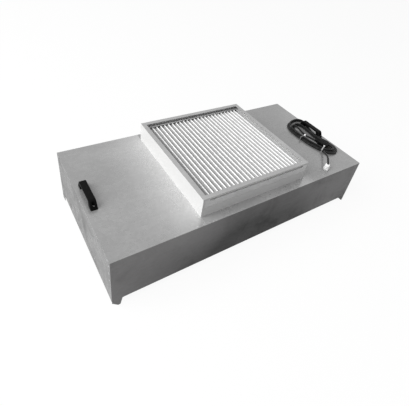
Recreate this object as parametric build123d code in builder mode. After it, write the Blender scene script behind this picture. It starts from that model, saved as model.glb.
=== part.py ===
"""Fan filter unit: a sheet-metal casing with a fan, a slide-in prefilter on top and a HEPA filter below.

Millimetres, +Z up. The origin is on the floor under the middle of the casing, and X is the long way.
"""
from math import cos, pi, radians, sin, tan
import os

from build123d import *

os.makedirs("parts", exist_ok=True)

# ---------------------------------------------------------------- driving dimensions
unit_length = 1175.0
unit_width = 575.0
casing_height = 204.0
foot_height = 34.0
sheet = 1.2

foot_root_width = 36.0
foot_tip_width = 28.0
foot_slant_width = 20.0
foot_slant_rise = 23.0
foot_corner_radius = 3.0
corner_flange = 20.0
panel_lip = 12.0
edge_clearance = 1.0

# prefilter housing, the low box on the top panel
housing_length = 504.0
housing_width = 500.0
housing_height = 82.0
rim_width = 18.0
rim_depth = 7.0
housing_foot_flange = 15.0
slot_bottom = 39.5
slot_side_margin = 6.5

# prefilter, a pleated panel in a folded frame that slides out of the slot
filter_top = 66.0
filter_thickness = 20.0
filter_apron = 6.0
filter_flange = 8.0
filter_back_gap = 13.0
slide_clearance = 0.5
rail_clearance = 0.3
rail_shelf = 9.0
rail_step = 9.0
rail_wall_leg = 24.0
lug_width = 21.5
thumb_notch_radius = 6.0
thumb_notch_x = 38.0
pleat_pitch = 18.75
pleat_count = 25
pleat_sheet = 2.4
pleat_round = 1.6

# carrying handles
handle_length = 143.0
handle_width = 25.0
handle_grip_width = 23.0
handle_height = 32.0
handle_bar = 7.0
handle_foot = 25.0
handle_slope = 16.0
handle_inset = 30.0
handle_y = 3.0
handle_edge_radius = 3.0
handle_screw_inset = 11.0
handle_screw_seat = 7.0
screw_clearance = 0.25
m5_radius = 2.5
m5_head_radius = 4.6
m5_head_height = 3.3
m5_nut_flats = 8.0
m5_nut_height = 4.0

# cable gland and terminal box
gland_end_inset = 188.5
gland_front_inset = 37.5
gland_flats = 24.0
gland_hex_height = 6.0
gland_height = 26.0
gland_thread_radius = 10.0
gland_thread_length = 9.0
gland_dome_radius = 11.5
gland_mouth_radius = 6.5
gland_nut_height = 5.0
box_length = 96.0
box_width = 44.0
box_depth = 48.0
box_wall = 2.0

# power cord, its hank and its plug
cord_diameter = 8.0
cord_exit_depth = 3.0
hank_height = 16.0
hank_corner = 9.0
hank_inner_corner = 4.5
hank_edge = 4.0
tie_thickness = 1.5
tie_width = 5.0
tie_slack = 0.5
tie_head = 7.0
plug_width = 26.0
plug_thickness = 20.0
plug_length = 46.0
plug_edge = 4.0
plug_relief_length = 22.0
plug_relief_radius = 8.0
pin_width = 6.3
pin_thickness = 1.5
pin_length = 18.0
pin_spacing = 12.7
pocket_clearance = 0.5

# HEPA filter in the bottom of the casing
hepa_clearance = 1.3
hepa_height = 69.0
hepa_recess = 2.0
hepa_wall = 15.0
hepa_lip = 6.0
hepa_lip_height = 3.0
gasket_thickness = 5.0
gasket_width = 11.0
ledge_width = 26.0
ledge_leg = 20.0
media_pitch = 19.0
media_ridge = 3.0
guard_thickness = 1.0
guard_columns = 14
guard_rows = 7
guard_bar = 5.0
media_guard_gap = 2.0
hepa_screw_spacing = 128.0
hepa_screw_count = 5
hepa_screw_rise = 36.0
rivet_head_radius = 3.4
rivet_head_height = 0.8
rivet_radius = 1.6
rivet_reach = 9.0
rivet_grip = 4.0
rivet_clearance = 0.1
top_rivet_spacing = 134.0
top_rivet_count = 5
corner_rivet_count = 3
corner_rivet_spacing = 36.0

# fan
inlet_throat_radius = 100.0
inlet_hole_radius = 128.0
inlet_flange_radius = 148.0
inlet_sheet = 1.5
inlet_bell_radius = 18.0
inlet_screw_circle = 138.0
inlet_screw_count = 6
m4_radius = 2.0
m4_head_radius = 3.8
m4_head_height = 2.6
impeller_radius = 155.0
impeller_sheet = 1.5
impeller_gap = 3.5
blade_count = 7
blade_root_radius = 84.0
blade_inset = 1.5
blade_wrap = 46.0
nozzle_overlap = 6.0
shroud_knee_reach = 17.0
shroud_knee_rise = 3.0
blade_skew = 1.1
eye_drop = 10.8
hub_rise = 14.0
rotor_radius = 62.0
rotor_wall = 5.0
rotor_height = 62.0
rotor_lid = 4.0
rotor_flange = 16.0
rotor_flange_thickness = 4.0
hub_screw_count = 6
air_gap = 0.6
shaft_radius = 6.0
shaft_running_clearance = 0.05
bearing_radius = 16.0
bearing_width = 10.0
bearing_shoulder = 3.0
stator_flange_radius = 55.0
stator_flange_thickness = 6.0
stator_neck_radius = 24.0
stator_core_height = 34.0
stator_screw_circle = 44.0
clip_gap = 0.4
clip_thickness = 1.2
clip_radius = 9.0
bracket_length = 410.0
bracket_width = 130.0
bracket_sheet = 2.0
bracket_flange = 12.0
bracket_drop = 104.8
bracket_window = 70.0
standoff_x = 185.0
standoff_y = 45.0
standoff_radius = 6.0
standoff_tap_depth = 15.0
liner_thickness = 10.0
liner_gap = 1.5
capacitor_radius = 17.0
capacitor_length = 70.0

# ---------------------------------------------------------------- derived levels
casing_bottom = foot_height
casing_top = casing_bottom + casing_height
panel_under = casing_top - sheet
inner_length = unit_length - 2 * sheet
inner_width = unit_width - 2 * sheet
housing_top = casing_top + housing_height
gland_x = unit_length / 2 - gland_end_inset
gland_y = gland_front_inset - unit_width / 2
handle_x = unit_length / 2 - handle_inset

hepa_length = inner_length - 2 * hepa_clearance
hepa_width = inner_width - 2 * hepa_clearance
hepa_bottom = casing_bottom + hepa_recess
hepa_top = hepa_bottom + hepa_height
ledge_level = hepa_top + gasket_thickness
flange_bottom = ledge_level + sheet + ledge_leg + edge_clearance
flange_top = panel_under - panel_lip - edge_clearance

bracket_top = panel_under - bracket_drop
hub_level = bracket_top + hub_rise
eye_level = panel_under - eye_drop
rotor_top = hub_level + rotor_height - rotor_flange_thickness
eye_radius = inlet_throat_radius + inlet_sheet + impeller_gap


def write_piece(piece, name):
    """Label a finished piece and write it as one STEP file."""
    piece.part.label = name
    export_step(piece.part, f"parts/{name}.step")


def ring_face(length, width, band):
    """Flat rectangular ring, band wide, round the outline length by width."""
    with BuildSketch() as ring:
        Rectangle(length, width)
        Rectangle(length - 2 * band, width - 2 * band, mode=Mode.SUBTRACT)
    return ring.sketch


def screws(places, seat, shank_radius, shank_length, head_radius, head_height, up=1):
    """Pan-head screws whose heads sit on the level seat: up=1 head above, up=-1 head below."""
    with BuildPart() as group:
        with BuildSketch(Plane.XY.offset(seat)):
            with Locations(*places):
                Circle(head_radius)
        extrude(amount=up * head_height)
        rims = group.edges().filter_by(GeomType.CIRCLE).group_by(Axis.Z)
        chamfer(rims[-1 if up > 0 else 0], head_height * 0.4)
        with BuildSketch(Plane.XY.offset(seat)):
            with Locations(*places):
                Circle(shank_radius)
        extrude(amount=-up * shank_length)
    return group


# ---------------------------------------------------------------- casing panels
front_plane = Plane(origin=(0, -unit_width / 2, 0), x_dir=(1, 0, 0), z_dir=(0, -1, 0))
back_plane = Plane(origin=(0, unit_width / 2, 0), x_dir=(-1, 0, 0), z_dir=(0, 1, 0))
right_plane = Plane(origin=(unit_length / 2, 0, 0), x_dir=(0, 1, 0), z_dir=(1, 0, 0))
left_plane = Plane(origin=(-unit_length / 2, 0, 0), x_dir=(0, -1, 0), z_dir=(-1, 0, 0))


def discs(plane, places, radius):
    """Faces of equal round holes or shanks on a plane."""
    with BuildSketch(plane) as sketch:
        with Locations(*places):
            Circle(radius)
    return sketch.sketch


def row(count, spacing, level):
    """Evenly spaced places at one level, centred on the middle of the wall."""
    return [((number - (count - 1) / 2) * spacing, level) for number in range(count)]


hole_radius = rivet_radius + rivet_clearance
corner_rivet_y = unit_width / 2 - corner_flange / 2
lip_middle = panel_under - panel_lip / 2
filter_rivets = row(hepa_screw_count, hepa_screw_spacing, casing_bottom + hepa_screw_rise)
lip_rivets = row(top_rivet_count, top_rivet_spacing, lip_middle)
corner_levels = row(corner_rivet_count, corner_rivet_spacing, (flange_bottom + flange_top) / 2)
corner_rivets = [(side * corner_rivet_y, flange_middle + up)
                 for side in (-1, 1) for up, flange_middle in corner_levels]


def wall_panel(plane, width, flanged):
    """One wall seen from outside: a foot tab hangs from its left-hand corner, cut slanting on the long walls."""
    left = -width / 2
    foot_corner = [(left, foot_slant_rise), (left + foot_slant_width, 0)] if flanged else [(left, 0)]
    with BuildPart() as wall:
        with BuildSketch(plane):
            with BuildLine():
                Polyline(
                    *foot_corner,
                    (left + foot_tip_width, 0),
                    (left + foot_root_width, casing_bottom),
                    (-left, casing_bottom),
                    (-left, panel_under),
                    (left, panel_under),
                    close=True,
                )
            make_face()
        extrude(amount=-sheet)
        tab_corner = wall.edges().filter_by(Axis(plane.origin, plane.z_dir)).group_by(Axis.Z)[0]
        fillet(tab_corner, foot_corner_radius)
        if flanged:
            middle = (flange_bottom + flange_top) / 2
            with BuildSketch(plane.offset(-sheet)):
                with Locations((left + sheet / 2, middle), (-left - sheet / 2, middle)):
                    Rectangle(sheet, flange_top - flange_bottom)
            extrude(amount=sheet - corner_flange)
            for end_plane in (left_plane, right_plane):
                extrude(discs(end_plane, corner_rivets, hole_radius), amount=-rivet_grip, mode=Mode.SUBTRACT)
        else:
            places = filter_rivets + lip_rivets + corner_rivets
            extrude(discs(plane, places, hole_radius), amount=-sheet, mode=Mode.SUBTRACT)
    return wall


write_piece(wall_panel(front_plane, inner_length, True), "front_panel")
write_piece(wall_panel(back_plane, inner_length, True), "back_panel")
write_piece(wall_panel(right_plane, unit_width, False), "right_end_panel")
write_piece(wall_panel(left_plane, unit_width, False), "left_end_panel")

handle_screw_y = handle_length / 2 - handle_screw_inset
handle_places = [(side * handle_x, handle_y + end * handle_screw_y) for side in (-1, 1) for end in (-1, 1)]
standoff_places = [(i * standoff_x, j * standoff_y) for i in (-1, 1) for j in (-1, 1)]

with BuildPart() as top_panel:
    with BuildSketch(Plane.XY.offset(panel_under)):
        Rectangle(unit_length, unit_width)
        Circle(inlet_hole_radius, mode=Mode.SUBTRACT)
        with PolarLocations(inlet_screw_circle, inlet_screw_count):
            Circle(m4_radius + screw_clearance, mode=Mode.SUBTRACT)
        with Locations((gland_x, gland_y)):
            Circle(gland_thread_radius + screw_clearance, mode=Mode.SUBTRACT)
        with Locations(*handle_places, *standoff_places):
            Circle(m5_radius + screw_clearance, mode=Mode.SUBTRACT)
    extrude(amount=sheet)
    with BuildSketch(Plane.XY.offset(panel_under)):
        add(ring_face(inner_length, inner_width, sheet))
    extrude(amount=-panel_lip)
    for end_plane in (left_plane, right_plane):
        extrude(discs(end_plane, lip_rivets, hole_radius), amount=-rivet_grip, mode=Mode.SUBTRACT)
write_piece(top_panel, "top_panel")


def end_fasteners(plane):
    """Low-headed fasteners of one end panel: rivets above, longer filter screws below."""
    with BuildPart() as group:
        places = filter_rivets + lip_rivets + corner_rivets
        extrude(discs(plane, places, rivet_head_radius), amount=rivet_head_height)
        outer_rims = group.edges().filter_by(GeomType.CIRCLE).group_by(Axis(plane.origin, plane.z_dir))[-1]
        chamfer(outer_rims, rivet_head_height * 0.5)
        extrude(discs(plane, lip_rivets + corner_rivets, rivet_radius), amount=-rivet_grip)
        extrude(discs(plane, filter_rivets, rivet_radius), amount=-rivet_reach)
    return group


write_piece(end_fasteners(left_plane), "left_end_fasteners")
write_piece(end_fasteners(right_plane), "right_end_fasteners")

with BuildPart() as seal_ledge:
    with BuildSketch(Plane.XY.offset(ledge_level)):
        add(ring_face(inner_length, inner_width, ledge_width))
    extrude(amount=sheet)
    with BuildSketch(Plane.XY.offset(ledge_level + sheet)):
        add(ring_face(inner_length, inner_width, sheet))
    extrude(amount=ledge_leg)
write_piece(seal_ledge, "seal_ledge")

# ---------------------------------------------------------------- prefilter housing
slot_top = housing_height - rim_depth
slot_width = housing_length - 2 * slot_side_margin

with BuildPart() as prefilter_housing:
    with BuildSketch(Plane.XY.offset(casing_top)):
        add(ring_face(housing_length, housing_width, sheet))
    extrude(amount=housing_height - sheet)
    with BuildSketch(Plane.XY.offset(casing_top)):
        add(ring_face(housing_length, housing_width, housing_foot_flange))
    extrude(amount=sheet)
    with BuildSketch(Plane.XZ.offset(housing_width / 2)):
        with Locations((0, casing_top + (slot_bottom + slot_top) / 2)):
            Rectangle(slot_width, slot_top - slot_bottom)
    extrude(amount=-sheet, mode=Mode.SUBTRACT)
write_piece(prefilter_housing, "prefilter_housing")

with BuildPart() as prefilter_rim:
    with BuildSketch(Plane.XY.offset(housing_top - sheet)):
        add(ring_face(housing_length, housing_width, rim_width))
    extrude(amount=sheet)
write_piece(prefilter_rim, "prefilter_rim")

# ---------------------------------------------------------------- prefilter
filter_width = slot_width - 2 * slide_clearance
filter_front = -housing_width / 2
filter_back = housing_width / 2 - filter_back_gap
filter_middle = (filter_front + filter_back) / 2
filter_length = filter_back - filter_front
filter_under = casing_top + filter_top - filter_thickness

with BuildPart() as prefilter_frame:
    with BuildSketch(Plane.XY.offset(filter_under)):
        with Locations((0, filter_middle)):
            add(ring_face(filter_width, filter_length, sheet))
    extrude(amount=filter_thickness)
    for level in (filter_under, filter_under + filter_thickness - sheet):
        with BuildSketch(Plane.XY.offset(level)):
            with Locations((0, filter_middle)):
                add(ring_face(filter_width, filter_length, filter_flange))
        extrude(amount=sheet)
    with BuildSketch(Plane.XZ.offset(-filter_front)):
        with Locations((0, filter_under - filter_apron / 2)):
            Rectangle(filter_width, filter_apron)
        lug_height = slot_top - filter_top - slide_clearance
        for side in (-1, 1):
            with Locations((side * (filter_width - lug_width) / 2, casing_top + filter_top + lug_height / 2)):
                Rectangle(lug_width, lug_height)
    extrude(amount=-sheet)
    with BuildSketch(Plane.XZ.offset(-filter_front)):
        with Locations((thumb_notch_x, casing_top + filter_top)):
            Circle(thumb_notch_radius)
    extrude(amount=-filter_flange, mode=Mode.SUBTRACT)
write_piece(prefilter_frame, "prefilter_frame")

media_top = casing_top + filter_top - sheet
media_bottom = filter_under + sheet
media_edge = filter_width / 2 - sheet
pleat_start = -pleat_count * pleat_pitch / 2
slope_run = pleat_pitch / 2
slope_rise = media_top - media_bottom - pleat_sheet


def zigzag(low, high):
    """Points of one face of the pleated sheet, edge to edge."""
    points = [(-media_edge, low), (pleat_start, low)]
    for number in range(pleat_count):
        points.append((pleat_start + (number + 0.5) * pleat_pitch, high))
        points.append((pleat_start + (number + 1) * pleat_pitch, low))
    points.append((media_edge, low))
    return points


with BuildPart() as prefilter_media:
    with BuildSketch(Plane.XZ.offset(-(filter_front + sheet))):
        with BuildLine():
            lower = zigzag(media_bottom, media_bottom + slope_rise)
            upper = zigzag(media_bottom + pleat_sheet, media_top)
            Polyline(*lower, *reversed(upper), close=True)
        make_face()
        inner_corners = [v for v in vertices() if abs(v.X) < media_edge - pleat_pitch / 4]
        fillet(inner_corners, pleat_round)
    extrude(amount=-(filter_length - 2 * sheet))
write_piece(prefilter_media, "prefilter_media")


def guide_rail(side):
    """Folded rail: a leg on the wall, a step that guides the side and a shelf under the filter."""
    wall_x = housing_length / 2 - sheet
    guide_x = filter_width / 2 + slide_clearance
    shelf_x = filter_width / 2 - rail_shelf
    shelf_z = filter_under - rail_clearance
    step_z = shelf_z + rail_step
    run = filter_length - rail_step
    with BuildPart() as rail:
        with BuildSketch(Plane.XZ.offset(-(filter_front + rail_step))):
            with BuildLine():
                Polyline(
                    (side * wall_x, step_z - rail_wall_leg),
                    (side * wall_x, step_z),
                    (side * guide_x, step_z),
                    (side * guide_x, shelf_z),
                    (side * shelf_x, shelf_z),
                    (side * shelf_x, shelf_z - sheet),
                    (side * (guide_x + sheet), shelf_z - sheet),
                    (side * (guide_x + sheet), step_z - sheet),
                    (side * (wall_x - sheet), step_z - sheet),
                    (side * (wall_x - sheet), step_z - rail_wall_leg),
                    close=True,
                )
            make_face()
        extrude(amount=-run)
        stop_x = (shelf_x + guide_x + sheet) / 2
        with BuildSketch(Plane.XZ.offset(-(filter_back + rail_clearance))):
            with Locations((side * stop_x, (shelf_z - sheet + step_z) / 2)):
                Rectangle(guide_x + sheet - shelf_x, rail_step + sheet)
        extrude(amount=-sheet)
    return rail


write_piece(guide_rail(-1), "left_guide_rail")
write_piece(guide_rail(1), "right_guide_rail")

# ---------------------------------------------------------------- handles
half_handle = handle_length / 2
handle_shoulder = half_handle - handle_slope
opening_half = half_handle - handle_foot
bar_under = casing_top + handle_height - handle_bar


def handle(side):
    """Moulded bridge handle: sloping legs, a flat grip bar and a deep screw well in each leg."""
    with BuildPart() as grip:
        with BuildSketch(Plane.YZ.offset(side * handle_x)) as profile:
            with Locations((handle_y, 0)):
                with BuildLine():
                    Polyline(
                        (handle_y - half_handle, casing_top),
                        (handle_y - handle_shoulder, casing_top + handle_height),
                        (handle_y + handle_shoulder, casing_top + handle_height),
                        (handle_y + half_handle, casing_top),
                        (handle_y + opening_half, casing_top),
                        (handle_y + opening_half - handle_bar / 2, bar_under),
                        (handle_y - opening_half + handle_bar / 2, bar_under),
                        (handle_y - opening_half, casing_top),
                        close=True,
                    )
                make_face()
            shoulders = profile.vertices().group_by(Axis.Y)
            fillet(shoulders[-1], handle_bar * 1.8)
            fillet(profile.vertices().filter_by(lambda v: abs(v.Y - bar_under) < 0.01), handle_bar)
        extrude(amount=handle_width / 2, both=True)
        outer = grip.faces().filter_by(lambda f: f.center().Z > bar_under and f.geom_type == GeomType.PLANE)
        bar_face = outer.sort_by(Axis.Z)[-1]
        fillet(bar_face.edges().filter_by(Axis.Y), handle_edge_radius)
        for end in (-1, 1):
            hole = (side * handle_x, handle_y + end * handle_screw_y)
            with BuildSketch(Plane.XY.offset(casing_top + handle_screw_seat)):
                with Locations(hole):
                    Circle(m5_head_radius + screw_clearance)
            extrude(amount=handle_height, mode=Mode.SUBTRACT)
            with BuildSketch(Plane.XY.offset(casing_top)):
                with Locations(hole):
                    Circle(m5_radius + screw_clearance)
            extrude(amount=handle_screw_seat, mode=Mode.SUBTRACT)
    return grip


write_piece(handle(-1), "left_handle")
write_piece(handle(1), "right_handle")

handle_shank = handle_screw_seat + sheet + m5_nut_height + edge_clearance
handle_seat = casing_top + handle_screw_seat
write_piece(
    screws(handle_places, handle_seat, m5_radius, handle_shank, m5_head_radius, m5_head_height),
    "handle_screws",
)

with BuildPart() as handle_nuts:
    with BuildSketch(Plane.XY.offset(panel_under)):
        with Locations(*handle_places):
            RegularPolygon(m5_nut_flats / 2, 6, major_radius=False)
            Circle(m5_radius + shaft_running_clearance, mode=Mode.SUBTRACT)
    extrude(amount=-m5_nut_height)
write_piece(handle_nuts, "handle_nuts")

# ---------------------------------------------------------------- cable gland
with BuildPart() as gland_body:
    with BuildSketch(Plane.XY.offset(casing_top)):
        with Locations((gland_x, gland_y)):
            RegularPolygon(gland_flats / 2, 6, major_radius=False)
    extrude(amount=gland_hex_height)
    with BuildSketch(Plane.XY.offset(casing_top)):
        with Locations((gland_x, gland_y)):
            Circle(gland_thread_radius)
    extrude(amount=-(sheet + gland_thread_length))
    with BuildSketch(Plane.XY.offset(panel_under - gland_thread_length)):
        with Locations((gland_x, gland_y)):
            Circle(cord_diameter / 2 + screw_clearance)
    extrude(amount=sheet + gland_thread_length + gland_hex_height, mode=Mode.SUBTRACT)
write_piece(gland_body, "gland_body")

gland_plane = Plane(origin=(gland_x, gland_y, casing_top + gland_hex_height), z_dir=(0, -1, 0), x_dir=(1, 0, 0))
dome_height = gland_height - gland_hex_height
dome_skirt = dome_height * 0.5
cord_bore = cord_diameter / 2 - screw_clearance

with BuildPart() as gland_dome:
    with BuildSketch(gland_plane):
        with BuildLine():
            skirt = Polyline((cord_bore, dome_height), (cord_bore, 0), (gland_dome_radius, 0), (gland_dome_radius, dome_skirt))
            shoulder = ThreePointArc(
                skirt @ 1,
                (gland_dome_radius * 0.88, dome_height * 0.84),
                (gland_mouth_radius, dome_height),
            )
            Line(shoulder @ 1, skirt @ 0)
        make_face()
    revolve(axis=Axis((gland_x, gland_y, 0), (0, 0, 1)))
    with BuildSketch(Plane.XY.offset(casing_top + gland_hex_height)):
        with Locations((gland_x, gland_y)):
            with PolarLocations(gland_dome_radius + 1.2, 8):
                Circle(2.4)
    extrude(amount=dome_skirt * 0.92, mode=Mode.SUBTRACT)

with BuildPart() as gland_nut:
    with BuildSketch(Plane.XY.offset(panel_under)):
        with Locations((gland_x, gland_y)):
            RegularPolygon(gland_flats / 2, 6, major_radius=False)
            Circle(gland_thread_radius + shaft_running_clearance, mode=Mode.SUBTRACT)
    extrude(amount=-gland_nut_height)
write_piece(gland_nut, "gland_nut")

with BuildPart() as terminal_box:
    with BuildSketch(Plane.XY.offset(panel_under - box_depth)):
        with Locations((gland_x, gland_y)):
            RectangleRounded(box_length, box_width, box_wall * 2)
    extrude(amount=box_depth)
    with BuildSketch(Plane.XY.offset(panel_under - box_depth + box_wall)):
        with Locations((gland_x, gland_y)):
            RectangleRounded(box_length - 2 * box_wall, box_width - 2 * box_wall, box_wall)
    extrude(amount=box_depth - box_wall, mode=Mode.SUBTRACT)
write_piece(terminal_box, "terminal_box")

block_length = box_length / 2
with BuildPart() as terminal_block:
    with BuildSketch(Plane.XY.offset(panel_under - box_depth + box_wall)):
        with Locations((gland_x, gland_y)):
            Rectangle(block_length, box_width / 2)
    extrude(amount=box_depth / 3)
    with BuildSketch(Plane.XY.offset(panel_under - box_depth + box_wall + box_depth / 3)):
        with Locations((gland_x, gland_y)):
            with GridLocations(block_length / 4, box_width / 4, 4, 2):
                Circle(m4_radius)
    extrude(amount=-box_depth / 6, mode=Mode.SUBTRACT)
write_piece(terminal_block, "terminal_block")

# ---------------------------------------------------------------- power cord
lead_steps = [(0, 0, gland_height - cord_exit_depth), (10, 14, 37), (27, 32, 36), (45, 51, 29), (61, 72, 18),
              (75, 88, 11), (85, 97, 8)]
cord_lead = [(gland_x + dx, gland_y + dy, casing_top + dz) for dx, dy, dz in lead_steps]


def tangent_radii(points):
    """Arc radius at each inner point: 0.45 of the shorter run over the tangent of half the turn."""
    radii = []
    for before, here, after in zip(points, points[1:], points[2:]):
        first = Vector(*here) - Vector(*before)
        second = Vector(*after) - Vector(*here)
        half_turn = radians(first.get_angle(second) / 2)
        radii.append(0.45 * min(first.length, second.length) / tan(half_turn))
    return radii


lead_radii = tangent_radii(cord_lead)
with BuildPart() as power_cord:
    with BuildLine() as lead_line:
        FilletPolyline(*cord_lead, radius=lead_radii)
    with BuildSketch(Plane(origin=cord_lead[0], z_dir=Vector(*cord_lead[1]) - Vector(*cord_lead[0]))):
        Circle(cord_diameter / 2)
    sweep()
cord_run = sum(edge.length for edge in lead_line.edges())
print("cord radii", [round(radius, 1) for radius in lead_radii])
print("cord run", round(cord_run, 1), "volume", round(power_cord.part.volume), "section x length",
      round(pi * cord_diameter**2 / 4 * cord_run))
write_piece(power_cord, "power_cord")

with BuildPart() as fitted_dome:
    add(gland_dome.part)
    add(power_cord.part, mode=Mode.SUBTRACT)
write_piece(fitted_dome, "gland_dome")

# the hank lies on the top panel round the legs of the right handle, so its places are steps from that handle
hank_outer = [
    (-107, -30), (-104, 28), (-89, 74), (-67, 96), (-34, 97), (-8, 106), (14, 96), (26, 70), (25, -2),
    (26, -72), (18, -127), (0, -188), (-21, -200), (-49, -192), (-72, -166), (-88, -136), (-100, -92),
]
hank_inner = [
    (-78, -30), (-75, 22), (-63, 58), (-44, 64), (-32, 46), (-15, 22), (-13, -2), (-15, -22), (-32, -46),
    (-48, -66), (-70, -66),
]


def from_handle(steps):
    """Plan points given as steps from the middle of the right handle."""
    return [(handle_x + dx, handle_y + dy) for dx, dy in steps]


hank_bottom = casing_top + tie_thickness
plug_tail = Vector(handle_x - 51, handle_y - 78, casing_top + plug_thickness / 2)
plug_plane = Plane(origin=plug_tail, x_dir=(84, 18, 0), z_dir=(18, -84, 0))
pocket_length = plug_relief_length + plug_length + pin_length + pocket_clearance
tie_places = [((handle_x - 92, handle_y - 36), 4, 33), ((handle_x - 70, handle_y - 147), 24, 30)]
leg_pocket = handle_foot + handle_bar / 2 + 2 * pocket_clearance
leg_offset = half_handle - (handle_foot + handle_bar / 2) / 2


def tie_frame(place, turn, level):
    """Plane across the band at a tie, its x axis across the band."""
    across = (cos(radians(turn)), sin(radians(turn)), 0)
    along = (sin(radians(turn)), -cos(radians(turn)), 0)
    return Plane(origin=(place[0], place[1], level), x_dir=across, z_dir=along)


with BuildPart() as cord_hank:
    with BuildSketch(Plane.XY.offset(hank_bottom)):
        with BuildLine():
            FilletPolyline(*from_handle(hank_outer), radius=hank_corner, close=True)
        make_face()
    extrude(amount=hank_height)
    fillet(cord_hank.edges().group_by(Axis.Z)[-1], hank_edge)
    with BuildSketch(Plane.XY.offset(hank_bottom)):
        with BuildLine():
            FilletPolyline(*from_handle(hank_inner), radius=hank_inner_corner, close=True)
        make_face()
    extrude(amount=hank_height, mode=Mode.SUBTRACT)
    with BuildSketch(Plane.XY.offset(hank_bottom)):
        with Locations((handle_x, handle_y - leg_offset), (handle_x, handle_y + leg_offset)):
            Rectangle(handle_width + 2 * pocket_clearance, leg_pocket)
    extrude(amount=hank_height, mode=Mode.SUBTRACT)
    with BuildSketch(plug_plane.offset(pocket_length / 2)):
        Rectangle(plug_width + 2 * pocket_clearance, 2 * (hank_height + plug_thickness))
    extrude(amount=pocket_length / 2, both=True, mode=Mode.SUBTRACT)
    for place, turn, band in tie_places:
        with BuildSketch(tie_frame(place, turn, hank_bottom)):
            for side in (-1, 1):
                with Locations((side * (band + tie_thickness) / 2, 0)):
                    Rectangle(tie_thickness + 2 * tie_slack, 4 * hank_height)
        extrude(amount=tie_width / 2 + tie_slack, both=True, mode=Mode.SUBTRACT)
    add(power_cord.part, mode=Mode.SUBTRACT)
write_piece(cord_hank, "cord_hank")


def cable_tie(place, turn, band):
    """Closed strap round one side of the hank, with its lock on the inner top corner."""
    middle = casing_top + tie_thickness + hank_height / 2
    with BuildPart() as tie:
        with BuildSketch(tie_frame(place, turn, middle)) as strap:
            Rectangle(band + 2 * tie_thickness, hank_height + 2 * tie_thickness)
            fillet(strap.vertices(), tie_thickness)
            Rectangle(band, hank_height, mode=Mode.SUBTRACT)
        extrude(amount=tie_width / 2, both=True)
        with BuildSketch(tie_frame(place, turn, middle + hank_height / 2 + tie_thickness)):
            with Locations((band / 2 - tie_head / 2, tie_head / 4)):
                Rectangle(tie_head, tie_head / 2)
        extrude(amount=tie_head / 2, both=True)
    return tie


for number, (place, turn, band) in enumerate(tie_places, start=1):
    write_piece(cable_tie(place, turn, band), f"cable_tie_{number}")

with BuildPart() as plug_body:
    with BuildSketch(plug_plane):
        Circle(cord_diameter / 2)
    with BuildSketch(plug_plane.offset(plug_relief_length)):
        Circle(plug_relief_radius)
    loft()
    with BuildSketch(plug_plane.offset(plug_relief_length)):
        RectangleRounded(plug_width, plug_thickness, plug_edge)
    extrude(amount=plug_length)
write_piece(plug_body, "plug_body")

with BuildPart() as plug_pins:
    with BuildSketch(plug_plane.offset(plug_relief_length + plug_length)):
        with GridLocations(pin_spacing, 1, 2, 1):
            Rectangle(pin_thickness, pin_width)
    extrude(amount=pin_length)
write_piece(plug_pins, "plug_pins")

# ---------------------------------------------------------------- HEPA filter
with BuildPart() as hepa_frame:
    with BuildSketch(Plane.XY.offset(hepa_bottom)):
        add(ring_face(hepa_length, hepa_width, hepa_wall))
    extrude(amount=hepa_height)
    with BuildSketch(Plane.XY.offset(hepa_bottom)):
        add(ring_face(hepa_length, hepa_width, hepa_wall + hepa_lip))
    extrude(amount=hepa_lip_height)
    for end_plane in (left_plane, right_plane):
        extrude(discs(end_plane, filter_rivets, hole_radius), amount=-rivet_reach, mode=Mode.SUBTRACT)
write_piece(hepa_frame, "hepa_frame")

pack_length = hepa_length - 2 * hepa_wall
pack_width = hepa_width - 2 * hepa_wall
with BuildPart() as hepa_face_guard:
    with BuildSketch(Plane.XY.offset(hepa_bottom + hepa_lip_height)):
        Rectangle(pack_length, pack_width)
        cell_x = (pack_length - guard_bar) / guard_columns
        cell_y = (pack_width - guard_bar) / guard_rows
        with GridLocations(cell_x, cell_y, guard_columns, guard_rows):
            Rectangle(cell_x - guard_bar, cell_y - guard_bar, mode=Mode.SUBTRACT)
    extrude(amount=guard_thickness)
write_piece(hepa_face_guard, "hepa_face_guard")

media_floor = hepa_bottom + hepa_lip_height + guard_thickness
media_roof = hepa_top - media_guard_gap
ridge_count = round(pack_length / media_pitch)
ridge_pitch = pack_length / ridge_count


def ridges(base, tip):
    """Points along one face of the filter pack, folds running across the casing."""
    points = [(-pack_length / 2, base)]
    for number in range(ridge_count):
        points.append(((number + 0.5) * ridge_pitch - pack_length / 2, tip))
        points.append(((number + 1) * ridge_pitch - pack_length / 2, base))
    return points


with BuildPart() as hepa_media:
    with BuildSketch(Plane.XZ.offset(-pack_width / 2)):
        with BuildLine():
            under = ridges(media_floor + media_ridge, media_floor)
            over = ridges(media_roof - media_ridge, media_roof)
            Polyline(*under, *reversed(over), close=True)
        make_face()
    extrude(amount=pack_width)
write_piece(hepa_media, "hepa_media")

with BuildPart() as hepa_gasket:
    with BuildSketch(Plane.XY.offset(hepa_top)):
        add(ring_face(hepa_length, hepa_width, gasket_width))
    extrude(amount=gasket_thickness)
write_piece(hepa_gasket, "hepa_gasket")

# ---------------------------------------------------------------- sound liners
liner_bottom = flange_bottom + corner_flange / 2
liner_top = flange_top - liner_gap
liner_inset = corner_flange + liner_gap


def liner(wall_plane, length):
    """Foam sheet glued to the inside of one wall, between its corner flanges."""
    with BuildPart() as foam:
        with BuildSketch(wall_plane.offset(-sheet)):
            with Locations((0, (liner_bottom + liner_top) / 2)):
                Rectangle(length, liner_top - liner_bottom)
        extrude(amount=-liner_thickness)
    return foam


long_liner = inner_length - 2 * liner_inset
short_liner = inner_width - 2 * liner_inset
write_piece(liner(front_plane, long_liner), "front_liner")
write_piece(liner(back_plane, long_liner), "back_liner")
write_piece(liner(left_plane, short_liner), "left_liner")
write_piece(liner(right_plane, short_liner), "right_liner")

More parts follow.
